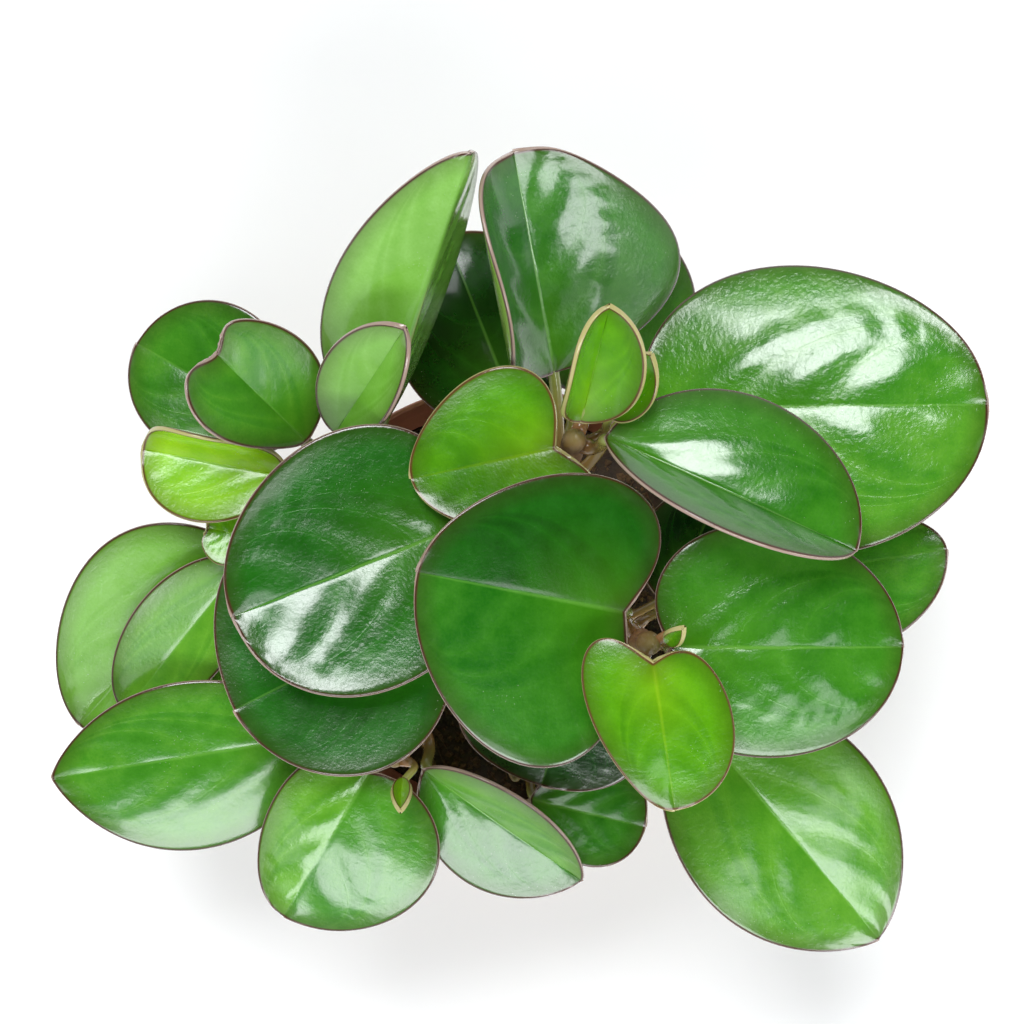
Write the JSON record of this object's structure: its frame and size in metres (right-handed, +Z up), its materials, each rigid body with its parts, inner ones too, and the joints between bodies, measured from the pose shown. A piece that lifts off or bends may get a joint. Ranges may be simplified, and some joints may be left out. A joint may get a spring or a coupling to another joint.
{
  "type": "potted peperomia",
  "caption": "Bushy peperomia with thick glossy oval leaves edged in dull red, on short stems that stand in a soil-filled round nursery pot.",
  "frame": {"origin": "centre of the pot's flat underside, on the surface that the pot stands on", "axes": "+Z up through the pot, +Y to the back and +X to the right as the plant is seen from above in the picture"},
  "size_m": [0.2447, 0.2067, 0.2126],
  "materials": {
    "pot_plastic": "thin moulded terracotta-coloured plastic, faintly scuffed",
    "potting_soil": "dark moist peat with pale crumbs",
    "stem": "fleshy red-brown stem with darker joints",
    "leaf_mature": "waxy deep green leaf with a dull red margin",
    "leaf_young": "waxy yellow-green young leaf with a pale red margin"
  },
  "bodies": {
    "root": {"pot": "pot_plastic", "soil": "potting_soil", "stem_back": "stem", "stem_right": "stem", "stem_centre": "stem", "stem_left_back": "stem", "stem_left": "stem", "stem_front_left": "stem", "stem_front": "stem", "leaf_left_back_outer": "leaf_mature", "leaf_left_back_inner": "leaf_mature", "leaf_left_back_small": "leaf_mature", "leaf_back_tall": "leaf_mature", "leaf_back_shaded": "leaf_mature", "leaf_back_broad": "leaf_mature", "leaf_back_lower": "leaf_mature", "leaf_crown_young": "leaf_young", "leaf_crown_young_small": "leaf_young", "leaf_crown_left": "leaf_young", "leaf_right_upper": "leaf_mature", "leaf_right_back_large": "leaf_mature", "leaf_centre_large": "leaf_mature", "leaf_heart_bright": "leaf_young", "leaf_bud_right": "leaf_young", "leaf_right_round": "leaf_mature", "leaf_right_shaded": "leaf_mature", "leaf_right_lower": "leaf_mature", "leaf_front_right_pointed": "leaf_mature", "leaf_left_centre_large": "leaf_mature", "leaf_left_centre_lower": "leaf_mature", "leaf_centre_lower": "leaf_mature", "leaf_left_bright": "leaf_young", "leaf_left_young": "leaf_young", "leaf_left_pale": "leaf_mature", "leaf_left_narrow": "leaf_mature", "leaf_front_left_pointed": "leaf_mature", "leaf_front_round": "leaf_mature", "leaf_front_young": "leaf_young", "leaf_front_glossy": "leaf_mature", "leaf_front_dark": "leaf_mature"}
  },
  "joints": []
}
